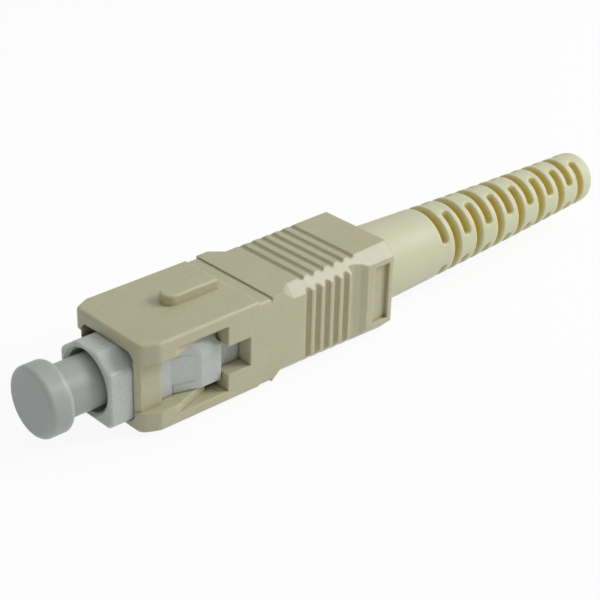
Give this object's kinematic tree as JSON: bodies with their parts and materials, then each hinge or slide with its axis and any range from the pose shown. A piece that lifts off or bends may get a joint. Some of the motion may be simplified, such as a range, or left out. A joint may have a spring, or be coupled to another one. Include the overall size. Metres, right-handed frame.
{
  "type": "sc fibre connector",
  "caption": "Push-pull optical fibre plug: square keyed grip with side latch windows, ferrule under a round dust cap, slotted tapered boot behind.",
  "frame": {"origin": "on the ferrule axis, in the front face of the plug frame, where the plug meets its adapter", "axes": "+X along the ferrule axis in the mating direction; +Z the face with the key; +Y one latch side"},
  "size_m": [0.0613, 0.009, 0.0085],
  "materials": {
    "grip_beige_pbt": "moulded beige thermoplastic, faint satin sheen",
    "frame_white_pbt": "moulded off-white thermoplastic",
    "cap_clear_pe": "milky translucent polyethylene",
    "boot_cream_tpe": "soft cream thermoplastic elastomer, matt",
    "zirconia": "polished white zirconia ceramic",
    "nickel_brass": "turned brass with a dull nickel plate",
    "spring_steel": "bright stainless wire",
    "crimp_metal": "drawn aluminium tube, satin",
    "ptfe": "white PTFE tube"
  },
  "bodies": {
    "plug": {"plug_frame": "frame_white_pbt", "backbone": "nickel_brass", "crimp_sleeve": "crimp_metal", "boot": "boot_cream_tpe"},
    "grip": {"grip_housing": "grip_beige_pbt"},
    "ferrule_assembly": {"ferrule": "zirconia", "ferrule_flange": "nickel_brass", "guide_tube": "ptfe", "ferrule_spring": "spring_steel"},
    "cap": {"dust_cap": "cap_clear_pe"}
  },
  "joints": [
    {"name": "grip_slide", "type": "slide", "parent": "plug", "child": "grip", "axis": [-1, 0, 0], "range_m": [0, 0.0013]},
    {"name": "ferrule_float", "type": "slide", "parent": "plug", "child": "ferrule_assembly", "axis": [-1, 0, 0], "range_m": [0, 0.001], "stiffness_N_per_m": 40, "deforming": ["ferrule_spring"]},
    {"name": "cap_pull", "type": "slide", "parent": "ferrule_assembly", "child": "cap", "axis": [1, 0, 0], "range_m": [0, 0.012]}
  ]
}
